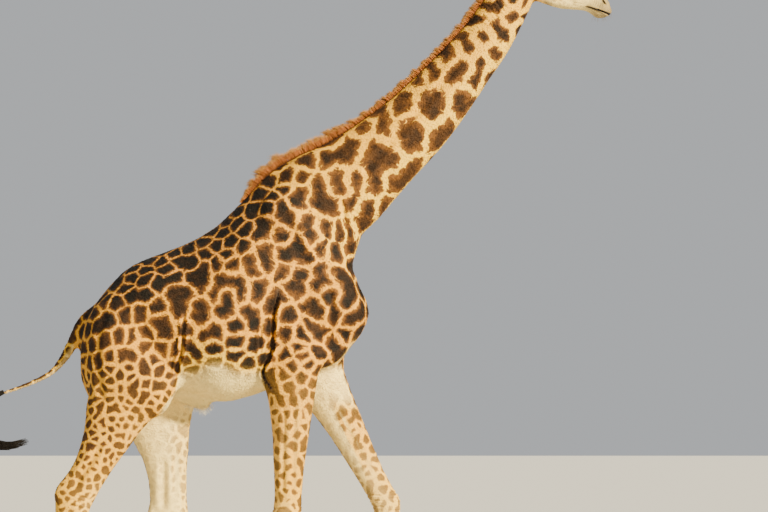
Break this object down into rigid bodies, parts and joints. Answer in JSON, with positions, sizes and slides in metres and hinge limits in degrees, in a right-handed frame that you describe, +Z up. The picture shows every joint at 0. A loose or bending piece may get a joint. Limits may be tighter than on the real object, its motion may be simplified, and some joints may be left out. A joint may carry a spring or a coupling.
{
  "type": "giraffe model",
  "caption": "Life-size still model of a Masai giraffe bull walking, neck reaching forward, tail swung back; patched coat, short mane, cloven hooves.",
  "frame": {"origin": "on the floor, under the middle of the animal's length and width", "axes": "+X forward, towards the head; +Y the animal's left; +Z up"},
  "size_m": [3.5258, 0.6856, 4.3351],
  "materials": {
    "fur": "short fur, dark jagged patches on tan",
    "hair": "short upright mane",
    "dark_hair": "long black hair",
    "eye": "wet and dark",
    "horn": "worn hoof horn"
  },
  "bodies": {
    "root": {"trunk": "fur", "neck": "fur", "head": "fur", "fore_l": "fur", "fore_r": "fur", "hind_l": "fur", "hind_r": "fur", "tail": "fur", "ear_l": "fur", "ear_r": "fur", "ossicone_l": "fur", "ossicone_r": "fur", "mane": "hair", "tail_brush": "dark_hair", "eye_l": "eye", "eye_r": "eye", "hoof_fore_l_left": "horn", "hoof_fore_l_right": "horn", "hoof_fore_r_left": "horn", "hoof_fore_r_right": "horn", "hoof_hind_l_left": "horn", "hoof_hind_l_right": "horn", "hoof_hind_r_left": "horn", "hoof_hind_r_right": "horn"}
  },
  "joints": []
}
